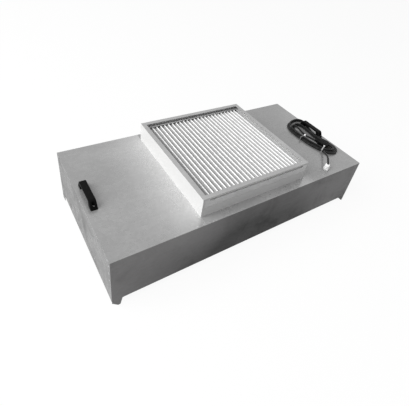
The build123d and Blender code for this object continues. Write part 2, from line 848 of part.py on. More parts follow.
# ---------------------------------------------------------------- fan inlet
fan_axis = Axis((0, 0, 0), (0, 0, 1))
nozzle_bottom = eye_level - nozzle_overlap
bell_top = casing_top + inlet_sheet
bell_centre_r = inlet_throat_radius + inlet_bell_radius
bell_centre_z = bell_top - inlet_bell_radius
outer_bell = inlet_bell_radius - inlet_sheet
bell_mid = sin(radians(45))

with BuildPart() as inlet_ring:
    with BuildSketch(Plane.XZ):
        with BuildLine():
            Polyline(
                (inlet_throat_radius, bell_centre_z),
                (inlet_throat_radius, nozzle_bottom),
                (inlet_throat_radius + inlet_sheet, nozzle_bottom),
                (inlet_throat_radius + inlet_sheet, bell_centre_z),
            )
            ThreePointArc(
                (inlet_throat_radius + inlet_sheet, bell_centre_z),
                (bell_centre_r - outer_bell * bell_mid, bell_centre_z + outer_bell * bell_mid),
                (bell_centre_r, casing_top),
            )
            Polyline(
                (bell_centre_r, casing_top),
                (inlet_flange_radius, casing_top),
                (inlet_flange_radius, bell_top),
                (bell_centre_r, bell_top),
            )
            ThreePointArc(
                (bell_centre_r, bell_top),
                (bell_centre_r - inlet_bell_radius * bell_mid, bell_centre_z + inlet_bell_radius * bell_mid),
                (inlet_throat_radius, bell_centre_z),
            )
        make_face()
    revolve(axis=fan_axis)
    with BuildSketch(Plane.XY.offset(casing_top)):
        with PolarLocations(inlet_screw_circle, inlet_screw_count):
            Circle(m4_radius + screw_clearance)
    extrude(amount=inlet_sheet, mode=Mode.SUBTRACT)
write_piece(inlet_ring, "inlet_ring")


def circle_places(radius, count, start=0):
    """Evenly spaced places round the fan axis."""
    turns = [radians(start + 360 * number / count) for number in range(count)]
    return [(radius * cos(turn), radius * sin(turn)) for turn in turns]


inlet_shank = inlet_sheet + sheet + m4_head_height
write_piece(
    screws(circle_places(inlet_screw_circle, inlet_screw_count), bell_top, m4_radius, inlet_shank,
           m4_head_radius, m4_head_height),
    "inlet_screws",
)

# ---------------------------------------------------------------- impeller
shroud_knee_radius = eye_radius + shroud_knee_reach
shroud_low = hub_level + impeller_sheet + (eye_level - hub_level) * 0.78
shroud_knee = shroud_low + shroud_knee_rise
blade_foot = hub_level + impeller_sheet
blade_tip_radius = impeller_radius - blade_inset


def polar(radius, degrees):
    """Plan point at a radius and an angle about the fan axis."""
    return (radius * cos(radians(degrees)), radius * sin(radians(degrees)))


def shroud_curve(lift):
    """Line and arc of the front shroud from its rim to the eye, raised by lift."""
    bend = (eye_radius + (shroud_knee_radius - eye_radius) * 0.3, shroud_knee + (eye_level - shroud_knee) * 0.3)
    return [
        (impeller_radius, shroud_low + lift),
        (shroud_knee_radius, shroud_knee + lift),
        (bend[0] + lift * bell_mid, bend[1] + lift * bell_mid),
        (eye_radius + lift, eye_level),
    ]


with BuildPart() as impeller:
    with BuildSketch(Plane.XY.offset(blade_foot)):
        with PolarLocations(0, blade_count):
            with BuildLine():
                ThreePointArc(
                    polar(blade_root_radius, 0),
                    polar((blade_root_radius + blade_tip_radius) / 2, -blade_wrap * 0.36),
                    polar(blade_tip_radius, -blade_wrap),
                )
                Line(polar(blade_tip_radius, -blade_wrap), polar(blade_tip_radius, blade_skew - blade_wrap))
                ThreePointArc(
                    polar(blade_tip_radius, blade_skew - blade_wrap),
                    polar((blade_root_radius + blade_tip_radius) / 2, blade_skew - blade_wrap * 0.36),
                    polar(blade_root_radius, blade_skew),
                )
                Line(polar(blade_root_radius, blade_skew), polar(blade_root_radius, 0))
            make_face()
    extrude(amount=eye_level - blade_foot)
    with BuildSketch(Plane.XZ):
        with BuildLine():
            Polyline(
                (0, shroud_knee + impeller_sheet / 2),
                (shroud_knee_radius, shroud_knee + impeller_sheet / 2),
                (impeller_radius, shroud_low + impeller_sheet / 2),
                (impeller_radius, eye_level + impeller_sheet),
                (0, eye_level + impeller_sheet),
                close=True,
            )
        make_face()
    revolve(axis=fan_axis, mode=Mode.SUBTRACT)
    with BuildSketch(Plane.XY.offset(hub_level)):
        Circle(impeller_radius)
        Circle(rotor_radius + screw_clearance, mode=Mode.SUBTRACT)
    extrude(amount=impeller_sheet)
    with BuildSketch(Plane.XZ):
        with BuildLine():
            under = shroud_curve(0)
            over = shroud_curve(impeller_sheet)
            Line(under[0], under[1])
            ThreePointArc(under[1], under[2], under[3])
            Line(under[3], over[3])
            ThreePointArc(over[3], over[2], over[1])
            Line(over[1], over[0])
            Line(over[0], under[0])
        make_face()
    revolve(axis=fan_axis)
    hub_screws_at = circle_places(rotor_radius + rotor_flange / 2, hub_screw_count)
    with BuildSketch(Plane.XY.offset(hub_level)):
        with Locations(*hub_screws_at):
            Circle(m4_radius + screw_clearance)
    extrude(amount=impeller_sheet, mode=Mode.SUBTRACT)
write_piece(impeller, "impeller")

# ---------------------------------------------------------------- external-rotor motor
rotor_inner = rotor_radius - rotor_wall
rotor_bottom = hub_level - rotor_flange_thickness

with BuildPart() as rotor_shell:
    with BuildSketch(Plane.XY.offset(rotor_bottom)):
        Circle(rotor_radius)
    extrude(amount=rotor_top - rotor_bottom)
    fillet(rotor_shell.edges().group_by(Axis.Z)[-1], rotor_lid / 2)
    with BuildSketch(Plane.XY.offset(rotor_bottom)):
        Circle(rotor_radius + rotor_flange)
    extrude(amount=rotor_flange_thickness)
    with BuildSketch(Plane.XY.offset(rotor_bottom)):
        Circle(rotor_inner)
    extrude(amount=rotor_top - rotor_lid - rotor_bottom, mode=Mode.SUBTRACT)
    with BuildSketch(Plane.XY.offset(rotor_bottom)):
        Circle(shaft_radius)
    extrude(amount=rotor_top - rotor_bottom, mode=Mode.SUBTRACT)
    with BuildSketch(Plane.XY.offset(rotor_bottom)):
        with Locations(*hub_screws_at):
            Circle(m4_radius + screw_clearance)
    extrude(amount=rotor_flange_thickness, mode=Mode.SUBTRACT)
write_piece(rotor_shell, "rotor_shell")

hub_shank = impeller_sheet + rotor_flange_thickness
write_piece(
    screws(hub_screws_at, hub_level + impeller_sheet, m4_radius, hub_shank, m4_head_radius, m4_head_height),
    "impeller_screws",
)

tube_top = rotor_top - rotor_lid - 1.5
upper_seat = tube_top - bearing_width
lower_seat = bracket_top + stator_flange_thickness + clip_thickness + clip_gap
lower_seat_top = lower_seat + bearing_width
core_bottom = lower_seat_top
core_top = core_bottom + stator_core_height
shaft_bottom = bracket_top + clip_thickness
groove_radius = shaft_radius - clip_thickness / 2
clip_level = lower_seat - clip_gap - clip_thickness

with BuildPart() as motor_shaft:
    with BuildSketch(Plane.XY.offset(shaft_bottom)):
        Circle(shaft_radius)
    extrude(amount=rotor_top - shaft_bottom)
    with BuildSketch(Plane.XY.offset(clip_level)):
        Circle(shaft_radius)
        Circle(groove_radius, mode=Mode.SUBTRACT)
    extrude(amount=clip_thickness, mode=Mode.SUBTRACT)
write_piece(motor_shaft, "motor_shaft")

with BuildPart() as shaft_clip:
    with BuildSketch(Plane.XY.offset(clip_level)):
        Circle(clip_radius)
        Circle(groove_radius, mode=Mode.SUBTRACT)
        with Locations((clip_radius, 0)):
            Rectangle(clip_radius, shaft_radius / 2, mode=Mode.SUBTRACT)
    extrude(amount=clip_thickness)
write_piece(shaft_clip, "shaft_clip")

with BuildPart() as motor_bearings:
    for seat in (lower_seat, upper_seat):
        with BuildSketch(Plane.XY.offset(seat)):
            Circle(bearing_radius)
            Circle(shaft_radius + shaft_running_clearance, mode=Mode.SUBTRACT)
        extrude(amount=bearing_width)
write_piece(motor_bearings, "motor_bearings")

stator_screws_at = circle_places(stator_screw_circle, 4, 45)
core_radius = rotor_inner - air_gap
with BuildPart() as motor_stator:
    with BuildSketch(Plane.XZ):
        with BuildLine():
            Polyline(
                (bearing_radius, bracket_top),
                (stator_flange_radius, bracket_top),
                (stator_flange_radius, bracket_top + stator_flange_thickness),
                (stator_neck_radius, bracket_top + stator_flange_thickness),
                (stator_neck_radius, core_bottom),
                (core_radius, core_bottom),
                (core_radius, core_top),
                (stator_neck_radius, core_top),
                (stator_neck_radius, tube_top),
                (bearing_radius, tube_top),
                (bearing_radius, upper_seat),
                (bearing_radius - bearing_shoulder, upper_seat),
                (bearing_radius - bearing_shoulder, lower_seat_top),
                (bearing_radius, lower_seat_top),
                close=True,
            )
        make_face()
    revolve(axis=fan_axis)
    with BuildSketch(Plane.XY.offset(bracket_top)):
        with Locations(*stator_screws_at):
            Circle(m4_radius + screw_clearance)
    extrude(amount=stator_flange_thickness, mode=Mode.SUBTRACT)
write_piece(motor_stator, "motor_stator")

stator_shank = stator_flange_thickness + bracket_sheet + m4_head_height
write_piece(
    screws(stator_screws_at, bracket_top + stator_flange_thickness, m4_radius, stator_shank, m4_head_radius,
           m4_head_height),
    "stator_screws",
)

bracket_bottom = bracket_top - bracket_sheet
with BuildPart() as motor_bracket:
    with BuildSketch(Plane.XY.offset(bracket_bottom)):
        Rectangle(bracket_length, bracket_width)
        Circle(bracket_window / 2, mode=Mode.SUBTRACT)
        with Locations(*stator_screws_at):
            Circle(m4_radius + screw_clearance, mode=Mode.SUBTRACT)
        with Locations(*standoff_places):
            Circle(m5_radius + screw_clearance, mode=Mode.SUBTRACT)
    extrude(amount=bracket_sheet)
    with BuildSketch(Plane.XY.offset(bracket_bottom)):
        with GridLocations(1, bracket_width - bracket_sheet, 1, 2):
            Rectangle(bracket_length, bracket_sheet)
    extrude(amount=-bracket_flange)
write_piece(motor_bracket, "motor_bracket")

with BuildPart() as fan_standoffs:
    with BuildSketch(Plane.XY.offset(bracket_top)):
        with Locations(*standoff_places):
            Circle(standoff_radius)
    extrude(amount=bracket_drop)
    for level, way in ((bracket_top, 1), (panel_under, -1)):
        with BuildSketch(Plane.XY.offset(level)):
            with Locations(*standoff_places):
                Circle(m5_radius)
        extrude(amount=way * standoff_tap_depth, mode=Mode.SUBTRACT)
write_piece(fan_standoffs, "fan_standoffs")

tap_reach = standoff_tap_depth - edge_clearance
write_piece(
    screws(standoff_places, casing_top, m5_radius, sheet + tap_reach, m5_head_radius, m5_head_height),
    "fan_hanger_screws",
)
write_piece(
    screws(standoff_places, bracket_bottom, m5_radius, bracket_sheet + tap_reach, m5_head_radius,
           m5_head_height, up=-1),
    "bracket_screws",
)

# ---------------------------------------------------------------- run capacitor
capacitor_x = gland_x - box_length
capacitor_level = panel_under - capacitor_radius - sheet
capacitor_y = gland_y + box_width
can_plane = Plane(origin=(capacitor_x - box_length, capacitor_y, capacitor_level), z_dir=(1, 0, 0))

with BuildPart() as capacitor:
    with BuildSketch(can_plane):
        Circle(capacitor_radius)
    extrude(amount=capacitor_length)
    fillet(capacitor.edges().filter_by(GeomType.CIRCLE), 2)
write_piece(capacitor, "capacitor")

with BuildPart() as capacitor_clip:
    with BuildSketch(can_plane.offset(capacitor_length / 2)) as strap:
        Circle(capacitor_radius + sheet)
        Circle(capacitor_radius, mode=Mode.SUBTRACT)
    extrude(amount=bracket_flange / 2, both=True)
    with BuildSketch(Plane.XY.offset(panel_under - sheet)):
        with Locations((capacitor_x - box_length + capacitor_length / 2, capacitor_y)):
            with GridLocations(1, 2 * (capacitor_radius + bracket_flange / 2), 1, 2):
                Rectangle(bracket_flange, bracket_flange + capacitor_radius)
    extrude(amount=sheet)
write_piece(capacitor_clip, "capacitor_clip")
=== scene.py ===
import math

import bpy
from mathutils import Matrix, Vector


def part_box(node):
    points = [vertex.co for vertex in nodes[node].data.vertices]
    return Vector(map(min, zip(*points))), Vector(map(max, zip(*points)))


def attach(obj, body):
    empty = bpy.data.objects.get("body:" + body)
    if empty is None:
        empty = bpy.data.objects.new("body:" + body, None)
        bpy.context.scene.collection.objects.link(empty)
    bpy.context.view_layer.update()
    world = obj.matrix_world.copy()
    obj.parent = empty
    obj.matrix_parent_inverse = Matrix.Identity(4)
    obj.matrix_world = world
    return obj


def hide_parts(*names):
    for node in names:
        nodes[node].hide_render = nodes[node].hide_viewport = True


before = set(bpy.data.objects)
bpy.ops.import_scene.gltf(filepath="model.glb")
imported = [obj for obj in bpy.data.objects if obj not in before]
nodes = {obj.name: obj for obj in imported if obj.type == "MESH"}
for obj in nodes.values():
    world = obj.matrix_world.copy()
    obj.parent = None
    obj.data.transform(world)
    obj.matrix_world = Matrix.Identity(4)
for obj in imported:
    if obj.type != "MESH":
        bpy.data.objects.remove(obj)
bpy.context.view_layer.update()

scene = bpy.context.scene
scene.view_settings.view_transform = "Standard"

# Measures of the object in metres, from the middle of the floor below it.
CASING_TOP = 0.238
CASING_HALF_Y = 0.2875
HOUSING_HALF_X = 0.252
HOUSING_HALF_Y = 0.250

# The camera: a wide lens close to the object, in metres and degrees, rolled and shifted as the picture is.
CAMERA_PLACE = (-0.7833, -0.9064, 1.1372)
CAMERA_AZIMUTH = -39.071
CAMERA_ELEVATION = 36.345
CAMERA_ROLL = -9.882
SENSOR_WIDTH = 36
IMAGE_WIDTH_PX = 409
FOCAL_LENGTH_PX = 352.063
LENS_SHIFT_X = -0.01898
LENS_SHIFT_Y = -0.12137


# ---------------------------------------------------------------- camera
def aim_camera():
    """Camera that stands, turns and shifts as the named values say."""
    azimuth, elevation, roll = (math.radians(v) for v in (CAMERA_AZIMUTH, CAMERA_ELEVATION, CAMERA_ROLL))
    back = Vector((
        math.sin(azimuth) * math.cos(elevation),
        -math.cos(azimuth) * math.cos(elevation),
        math.sin(elevation),
    ))
    forward = -back
    right = forward.cross(Vector((0, 0, 1))).normalized()
    down = forward.cross(right)
    across = math.cos(roll) * right + math.sin(roll) * down
    below = -math.sin(roll) * right + math.cos(roll) * down
    data = bpy.data.cameras.new("view_camera")
    data.sensor_fit = "HORIZONTAL"
    data.sensor_width = SENSOR_WIDTH
    data.lens = SENSOR_WIDTH * FOCAL_LENGTH_PX / IMAGE_WIDTH_PX
    data.shift_x = LENS_SHIFT_X
    data.shift_y = LENS_SHIFT_Y
    data.clip_start = 0.05
    camera = bpy.data.objects.new("view_camera", data)
    turn = Matrix((across, -below, back)).transposed().to_4x4()
    camera.matrix_world = Matrix.Translation(CAMERA_PLACE) @ turn
    scene.collection.objects.link(camera)
    scene.camera = camera


aim_camera()


# ---------------------------------------------------------------- node helpers
class Nodes:
    """A material's node tree with short calls for the nodes used here."""

    def __init__(self, name):
        self.material = bpy.data.materials.new(name)
        self.material.use_nodes = True
        self.tree = self.material.node_tree
        self.shader = self.tree.nodes["Principled BSDF"]
        self.coords = self.tree.nodes.new("ShaderNodeTexCoord")

    def link(self, a, b):
        self.tree.links.new(a, b)

    def place(self, stretch=(1, 1, 1), turn=(0, 0, 0)):
        """Object coordinates in metres, scaled and turned."""
        mapping = self.tree.nodes.new("ShaderNodeMapping")
        mapping.inputs["Scale"].default_value = stretch
        mapping.inputs["Rotation"].default_value = turn
        self.link(self.coords.outputs["Object"], mapping.inputs["Vector"])
        return mapping.outputs["Vector"]

    def noise(self, scale, detail=4, rough=0.5, stretch=(1, 1, 1), turn=(0, 0, 0), distortion=0):
        """Noise over the object; a stretch below 1 draws it out along that axis."""
        tex = self.tree.nodes.new("ShaderNodeTexNoise")
        tex.inputs["Scale"].default_value = scale
        tex.inputs["Detail"].default_value = detail
        tex.inputs["Roughness"].default_value = rough
        tex.inputs["Distortion"].default_value = distortion
        self.link(self.place(stretch, turn), tex.inputs["Vector"])
        return tex.outputs["Fac"]

    def cells(self, scale):
        """One random grey to each Voronoi cell."""
        tex = self.tree.nodes.new("ShaderNodeTexVoronoi")
        tex.inputs["Scale"].default_value = scale
        self.link(self.place(), tex.inputs["Vector"])
        grey = self.tree.nodes.new("ShaderNodeSeparateColor")
        self.link(tex.outputs["Color"], grey.inputs["Color"])
        return grey.outputs["Red"]

    def axis(self, letter):
        """One object coordinate in metres."""
        parts = self.tree.nodes.new("ShaderNodeSeparateXYZ")
        self.link(self.coords.outputs["Object"], parts.inputs["Vector"])
        return parts.outputs[letter]

    def span(self, value, low, high, to_low=0.0, to_high=1.0, smooth=True):
        """value mapped from low..high to to_low..to_high and clamped."""
        node = self.tree.nodes.new("ShaderNodeMapRange")
        node.interpolation_type = "SMOOTHSTEP" if smooth else "LINEAR"
        node.inputs["From Min"].default_value = low
        node.inputs["From Max"].default_value = high
        node.inputs["To Min"].default_value = to_low
        node.inputs["To Max"].default_value = to_high
        self.link(value, node.inputs["Value"])
        return node.outputs["Result"]

    def maths(self, kind, a, b=None):
        """One Math node on sockets or numbers."""
        node = self.tree.nodes.new("ShaderNodeMath")
        node.operation = kind
        for socket, value in zip(node.inputs, (a, b)):
            if value is None:
                continue
            if isinstance(value, (int, float)):
                socket.default_value = value
            else:
                self.link(value, socket)
        return node.outputs["Value"]

    def add(self, *terms):
        """Sum of sockets and numbers, in their order."""
        total = terms[0]
        for term in terms[1:]:
            total = self.maths("ADD", total, term)
        return total

    def times(self, *terms):
        """Product of sockets and numbers, in their order."""
        total = terms[0]
        for term in terms[1:]:
            total = self.maths("MULTIPLY", total, term)
        return total

    def along(self, letter, low, high, to_low=0.0, to_high=1.0, smooth=True):
        """An object coordinate mapped from low..high to to_low..to_high and clamped."""
        return self.span(self.axis(letter), low, high, to_low, to_high, smooth)

    def ramp(self, value, stops):
        """Colours at places along value; a stop is (place, grey) or (place, (r, g, b))."""
        node = self.tree.nodes.new("ShaderNodeValToRGB")
        elements = node.color_ramp.elements
        while len(elements) < len(stops):
            elements.new(0.5)
        for element, (place, colour) in zip(elements, stops):
            element.position = place
            rgb = (colour,) * 3 if isinstance(colour, (int, float)) else colour
            element.color = (*rgb, 1)
        self.link(value, node.inputs["Fac"])
        return node.outputs["Color"]

    def mix(self, factor, a, b):
        """Colour a changed into colour b by factor; a plain number stands for a grey."""
        node = self.tree.nodes.new("ShaderNodeMix")
        node.data_type = "RGBA"
        for socket, value in ((node.inputs[0], factor), (node.inputs[6], a), (node.inputs[7], b)):
            if isinstance(value, (int, float)):
                socket.default_value = value if socket.name == "Factor" else (value, value, value, 1)
            elif isinstance(value, tuple):
                socket.default_value = (*value, 1)
            else:
                self.link(value, socket)
        return node.outputs[2]

    def bump(self, height, strength, distance, under=None):
        """Normal of a relief, on top of the normal under it."""
        node = self.tree.nodes.new("ShaderNodeBump")
        node.inputs["Strength"].default_value = strength
        node.inputs["Distance"].default_value = distance
        self.link(height, node.inputs["Height"])
        if under is not None:
            self.link(under, node.inputs["Normal"])
        return node.outputs["Normal"]

    def finish(self, colour, roughness, normal, **numbers):
        """Link the sockets to the shader, set its other inputs by name and return the material."""
        self.link(colour, self.shader.inputs["Base Color"])
        self.link(roughness, self.shader.inputs["Roughness"])
        self.link(normal, self.shader.inputs["Normal"])
        for name, value in numbers.items():
            self.shader.inputs[name.replace("_", " ")].default_value = value
        return self.material


def dress(material, *names):
    """Give CAD nodes a material in every slot."""
    for name in names:
        mesh = nodes[name].data
        if not mesh.materials:
            mesh.materials.append(material)
        for number in range(len(mesh.materials)):
            mesh.materials[number] = material


# ---------------------------------------------------------------- sheet metals
def zinc_sheet(
    name, grey, tint=(1, 1, 1), metallic=0.35, rough=0.34, painted_light_and_shade=None, shine=0.5, deepest=0.25,
):
    """Aluminium-zinc coated steel: faint spangle, rolling streaks, handling smears and fine scratches.

    The painted light and shade argument adds a level of painted light and shade worked out from the place;
    deepest is the share of the grey left at the lowest level.
    """
    n = Nodes(name)
    spangle = n.cells(95)
    streak = n.noise(30, 5, 0.6, (0.35, 6, 6))
    cloud = n.noise(3.2, 3, 0.5)
    smear = n.noise(9, 6, 0.65, distortion=0.8)
    level = n.add(
        n.span(spangle, 0, 1, -0.022, 0.022, False),
        n.span(streak, 0.3, 0.7, -0.012, 0.012),
        n.span(cloud, 0.35, 0.65, -0.04, 0.04),
        n.span(smear, 0.55, 0.8, 0, -0.05),
    )
    # Painted light and shade from the place, added to the level.
    if painted_light_and_shade is not None:
        level = n.add(level, painted_light_and_shade(n))
    colour = n.ramp(n.add(level, 0.5), [
        (0.0, tuple(grey * deepest * t for t in tint)),
        (0.5, tuple(grey * t for t in tint)),
        (1.0, tuple(min(0.95, grey * 2.0) * t for t in tint)),
    ])
    roughness = n.add(
        n.span(smear, 0.4, 0.75, rough - 0.05, rough + 0.14),
        n.span(spangle, 0, 1, -0.04, 0.04, False),
    )
    scratch = n.noise(260, 2, 0.5, (0.03, 1, 1), (0, 0, 0.25))
    relief = n.add(n.span(scratch, 0.45, 0.75, 0, 0.4), n.span(cloud, 0.2, 0.8, 0, 2.0))
    normal = n.bump(relief, 0.12, 0.0012)
    return n.finish(colour, roughness, normal, Metallic=metallic, Specular_IOR_Level=shine)


def painted_housing_light(n):
    """Painted reflection of the housing's pale walls on the top panel left of the housing, and painted light
    on the strip before it.
    """
    reach = n.maths("POWER", n.along("X", -0.50, -HOUSING_HALF_X, smooth=False), 1.7)
    outside = n.along("X", -HOUSING_HALF_X, -HOUSING_HALF_X + 0.002, 1, 0)
    ends = n.times(n.along("Y", -0.31, -0.20, 0.35, 1), n.along("Y", 0.20, 0.30, 1, 0.6))
    # Painted reflection of the housing's pale left wall, strongest next to it and fading to the left.
    beside = n.times(reach, outside, ends, 0.46)
    # Painted light on the top panel before the housing's front.
    width = n.times(n.along("X", -0.254, -0.25), n.along("X", 0.24, 0.31, 1, 0))
    before = n.times(width, n.along("Y", -0.235, -0.215, 0.16, 0))
    return n.add(beside, before)


def painted_shade_panels(n):
    """Painted shade on the long panels: they darken away from their left end and towards the floor, most of
    all in their middle, and lighten a little again towards their right end.
    """
    low = n.along("Z", 0.02, CASING_TOP, -0.38, 0.0)
    middle = n.times(n.along("X", -0.60, -0.10, 0.25, 1), n.along("X", 0.05, 0.5, 1, 0.2))
    lengthwise = n.add(n.along("X", -0.42, 0.02, 0.0, -0.33), n.along("X", 0.10, 0.42, 0.0, 0.11))
    return n.add(lengthwise, n.times(low, middle))


def painted_fold_highlights_darker_back(n):
    """The end panels are duller towards the back, with a painted highlight along their upper and front
    folds.
    """
    back = n.along("Y", -0.28, 0.25, 0.02, -0.16)
    # Painted highlight along the upper and front folds.
    upper_fold = n.along("Z", CASING_TOP - 0.0035, CASING_TOP - 0.0015)
    front_fold = n.along("Y", -CASING_HALF_Y + 0.004, -CASING_HALF_Y + 0.002)
    return n.add(back, n.times(n.maths("MAXIMUM", upper_fold, front_fold), 0.38))


# The top, end and long panels are one coated sheet; their different greys are lit and shaded copies of it,
# painted light and shade, and the long panels' low deepest share lets their painted shade go darker.
top_zinc = zinc_sheet("top_zinc", 0.31, metallic=0.45, rough=0.27, painted_light_and_shade=painted_housing_light)
end_zinc = zinc_sheet("end_zinc", 0.135, metallic=0.3, painted_light_and_shade=painted_fold_highlights_darker_back)
side_zinc = zinc_sheet(
    "side_zinc", 0.24, tint=(1.0, 0.985, 0.99), metallic=0.3, rough=0.38,
    painted_light_and_shade=painted_shade_panels, shine=0.15, deepest=0.08,
)
rim_zinc = zinc_sheet("rim_zinc", 0.40, rough=0.36)
inner_zinc = zinc_sheet("inner_zinc", 0.38)
dress(top_zinc, "top_panel")
dress(end_zinc, "left_end_panel", "right_end_panel")
dress(side_zinc, "front_panel", "back_panel")
dress(rim_zinc, "prefilter_rim")
dress(inner_zinc, "seal_ledge", "motor_bracket", "inlet_ring", "capacitor_clip")


# Greys that the housing paint is mixed towards as painted light and painted shade.
PAINTED_LIGHT_GREY = 0.97
PAINTED_SHADE_GREY = 0.62
DUST = 0.06
LIT_WALL_INSET = 0.0055


def painted(name, colour, rough=0.4, painted_light_place=None, painted_shade_place=None):
    """Sprayed or powder coated sheet: orange peel, faint handling marks and dust.

    The two place arguments say from the place how far painted light makes the paint brighter and painted
    shade makes it duller there.
    """
    n = Nodes(name)
    cloud = n.noise(6, 4, 0.6)
    peel = n.noise(900, 2, 0.5)
    marks = n.noise(34, 5, 0.7, (1, 1, 0.4), distortion=1.2)
    dusty = tuple(c * (1 - DUST) for c in colour)
    marked = tuple(c * (1 - 2 * DUST) for c in colour)
    base = n.ramp(cloud, [(0.3, dusty), (0.7, colour)])
    shown = n.mix(n.span(marks, 0.6, 0.8, 0, 0.35), base, marked)
    # Painted light and painted shade, mixed in by place.
    if painted_light_place is not None:
        shown = n.mix(painted_light_place(n), shown, PAINTED_LIGHT_GREY)
    if painted_shade_place is not None:
        shown = n.mix(painted_shade_place(n), shown, PAINTED_SHADE_GREY)
    roughness = n.span(marks, 0.35, 0.75, rough - 0.06, rough + 0.12)
    return n.finish(shown, roughness, n.bump(peel, 0.12, 0.0004), Metallic=0.0)


def painted_light_back_wall(n):
    """Painted light on the housing's back wall between its side walls."""
    inner = HOUSING_HALF_X - LIT_WALL_INSET
    between = n.times(n.along("X", -inner - 0.001, -inner), n.along("X", inner, inner + 0.001, 1, 0))
    return n.times(between, n.along("Y", 0.15, 0.16))


def painted_shade_front(n):
    """Painted shade on the housing's front below the slot."""
    return n.along("Y", -HOUSING_HALF_Y + 0.0005, -HOUSING_HALF_Y + 0.0015, 0.5, 0)


housing_paint = painted("housing_paint", (0.765, 0.765, 0.76), painted_light_place=painted_light_back_wall, painted_shade_place=painted_shade_front)
guard_paint = painted("guard_paint", (0.88, 0.88, 0.87))
motor_paint = painted("motor_paint", (0.035, 0.035, 0.04), 0.45)
dress(housing_paint, "prefilter_housing")
dress(guard_paint, "hepa_face_guard")
dress(motor_paint, "rotor_shell")


def aluminium(name, grey, rough=0.32, brush=(1, 40, 40), metallic=0.7):
    """Mill-finish or extruded aluminium; its drawing lines run along the axis where brush is least."""
    n = Nodes(name)
    lines = n.noise(30, 4, 0.6, brush)
    cloud = n.noise(7, 4, 0.6)
    both = n.add(n.span(lines, 0.3, 0.7, 0, 0.6), n.span(cloud, 0.3, 0.7, 0, 0.4))
    colour = n.ramp(both, [(0.2, grey * 0.86), (0.8, grey * 1.06)])
    roughness = n.span(lines, 0.3, 0.7, rough - 0.07, rough + 0.1)
    return n.finish(colour, roughness, n.bump(lines, 0.08, 0.0004), Metallic=metallic)


frame_aluminium = aluminium("frame_aluminium", 0.68, 0.42, (1, 12, 12), metallic=0.2)
hepa_aluminium = aluminium("hepa_aluminium", 0.68)
fan_aluminium = aluminium("fan_aluminium", 0.66, brush=(20, 20, 1))
cast_aluminium = aluminium("cast_aluminium", 0.5, 0.5, (3, 3, 3), 0.6)
dress(frame_aluminium, "prefilter_frame", "left_guide_rail", "right_guide_rail")
dress(hepa_aluminium, "hepa_frame")
dress(fan_aluminium, "impeller")
dress(cast_aluminium, "motor_stator", "capacitor")


def plated(name, tint, rough=0.3, metallic=0.9):
    """Plated or ground steel for screws, nuts, bearings and the shaft."""
    n = Nodes(name)
    grain = n.noise(160, 3, 0.6)
    stain = n.noise(45, 4, 0.6)
    colour = n.mix(n.span(stain, 0.45, 0.75, 0, 0.5), tint, tuple(c * 0.72 for c in tint))
    roughness = n.span(grain, 0.3, 0.7, rough - 0.08, rough + 0.12)
    return n.finish(colour, roughness, n.bump(grain, 0.1, 0.0002), Metallic=metallic)


zinc_plate = plated("zinc_plate", (0.60, 0.61, 0.62))
# A lighter copy of the zinc plating for the handle screws: painted light against the shade of their
# recesses.
painted_light_zinc = plated("painted_light_zinc", (0.86, 0.86, 0.87), 0.35, 0.25)
ground_steel = plated("ground_steel", (0.66, 0.66, 0.67), 0.2)
pin_dark = plated("pin_dark", (0.10, 0.095, 0.085), 0.4)
dress(
    zinc_plate, "left_end_fasteners", "right_end_fasteners", "handle_nuts", "inlet_screws",
    "impeller_screws", "stator_screws", "fan_hanger_screws", "bracket_screws", "fan_standoffs",
)
dress(painted_light_zinc, "handle_screws")
dress(ground_steel, "motor_shaft", "motor_bearings", "shaft_clip")
dress(pin_dark, "plug_pins")


# ---------------------------------------------------------------- filters, foam and plastics
def fleece(name, piece, grey_to, white_from, grey, white):
    """Synthetic fleece: tangled fibres and white crests; painted shade greys the folds, less of it towards
    the right.

    grey_to and white_from are shares of the piece's height.
    """
    n = Nodes(name)
    low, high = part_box(piece)
    fibre = n.noise(700, 5, 0.75, (1, 0.4, 1), distortion=2.5)
    clump = n.noise(70, 5, 0.65, distortion=1.0)
    height = n.add(n.axis("Z"), n.span(clump, 0.3, 0.7, -0.001, 0.001))
    depth = n.span(height, low[2], high[2], smooth=False)
    # Painted shade: grey low in the folds, white on the crests.
    colour = n.ramp(depth, [(0.0, grey), (grey_to, grey), (white_from, white), (1.0, 0.95)])
    colour = n.mix(n.span(fibre, 0.45, 0.7, 0, 0.18), colour, n.mix(0.5, colour, 0.6))
    # Less painted shade towards the right, where the colour moves towards a pale grey.
    colour = n.mix(n.along("X", -0.15, 0.25, 0, 0.2), colour, 0.90)
    normal = n.bump(fibre, 0.5, 0.0008, n.bump(clump, 0.3, 0.001))
    roughness = n.span(fibre, 0.3, 0.7, 0.85, 1.0)
    dress(n.finish(colour, roughness, normal, Sheen_Weight=0.25, Specular_IOR_Level=0.1), piece)


fleece("prefilter_fleece", "prefilter_media", grey_to=0.78, white_from=0.92, grey=0.34, white=0.94)
fleece("hepa_paper", "hepa_media", grey_to=0.05, white_from=0.50, grey=0.90, white=0.93)


def foam(name, grey):
    """Foam with open cells of two sizes."""
    n = Nodes(name)
    pores = n.noise(420, 4, 0.7)
    patch = n.noise(14, 3, 0.5)
    skin = n.ramp(patch, [(0.3, grey * 0.85), (0.7, grey)])
    colour = n.mix(n.span(pores, 0.42, 0.62, 0, 1), grey * 0.35, skin)
    roughness = n.span(pores, 0.3, 0.7, 0.85, 1.0)
    return n.finish(colour, roughness, n.bump(pores, 0.6, 0.0012), Specular_IOR_Level=0.15)


liner_foam = foam("liner_foam", 0.10)
gasket_foam = foam("gasket_foam", 0.05)
dress(liner_foam, "front_liner", "back_liner", "left_liner", "right_liner")
dress(gasket_foam, "hepa_gasket")


